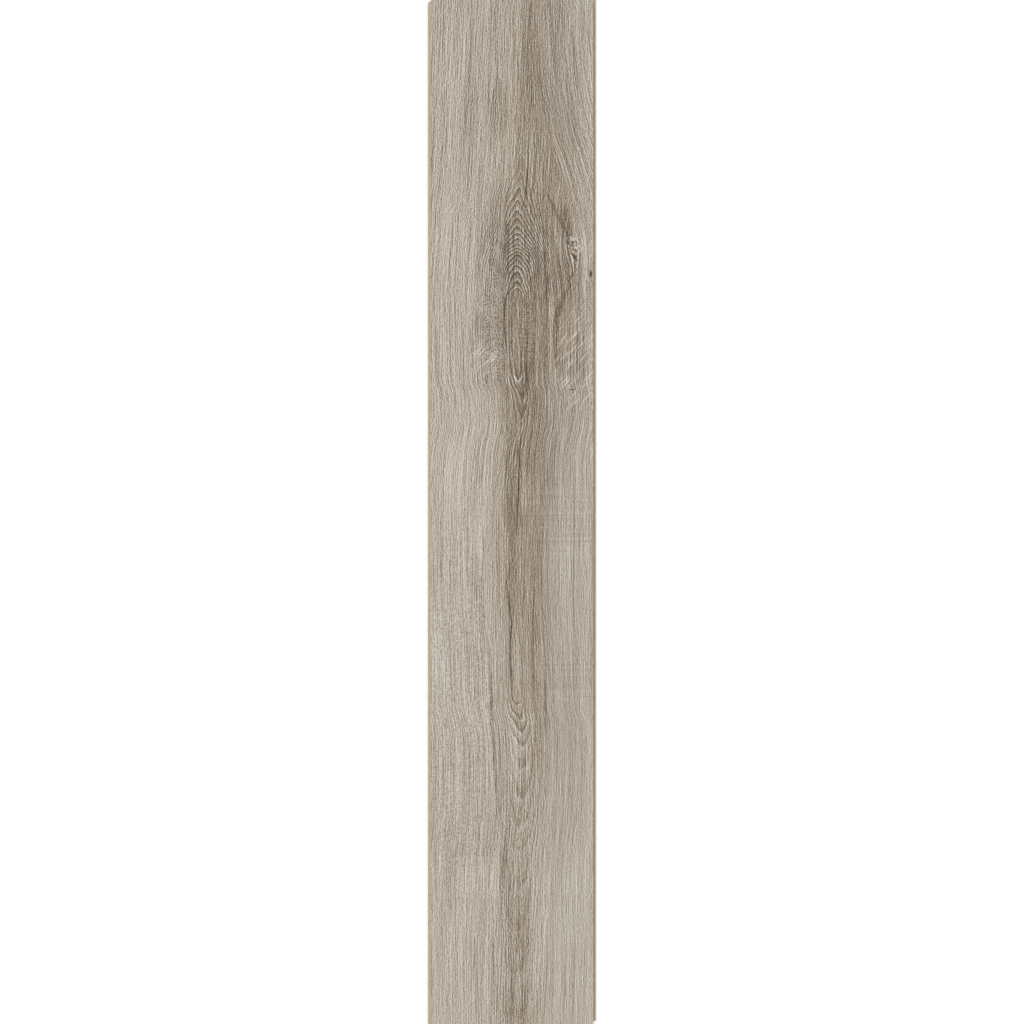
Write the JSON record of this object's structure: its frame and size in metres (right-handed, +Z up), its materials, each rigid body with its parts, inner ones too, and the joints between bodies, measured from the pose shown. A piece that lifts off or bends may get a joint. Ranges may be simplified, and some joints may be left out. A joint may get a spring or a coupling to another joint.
{
  "type": "laminate floor plank",
  "caption": "Flat rectangular floor plank with a grey oak decor face, a fibreboard core, and tongue and groove click joints on its long sides and ends.",
  "frame": {"origin": "on the underside, below the middle of the face, where the plank rests on its underlay", "axes": "+Z up out of the decor face, +Y along the plank towards its grooved end, +X across it towards its grooved long side"},
  "size_m": [0.197, 1.207, 0.008],
  "materials": {
    "decor_layer": "matte",
    "hdf_core": "matte",
    "backing_layer": "matte"
  },
  "bodies": {
    "root": {"decor_layer": "decor_layer", "hdf_core": "hdf_core", "backing_layer": "backing_layer"}
  },
  "joints": []
}
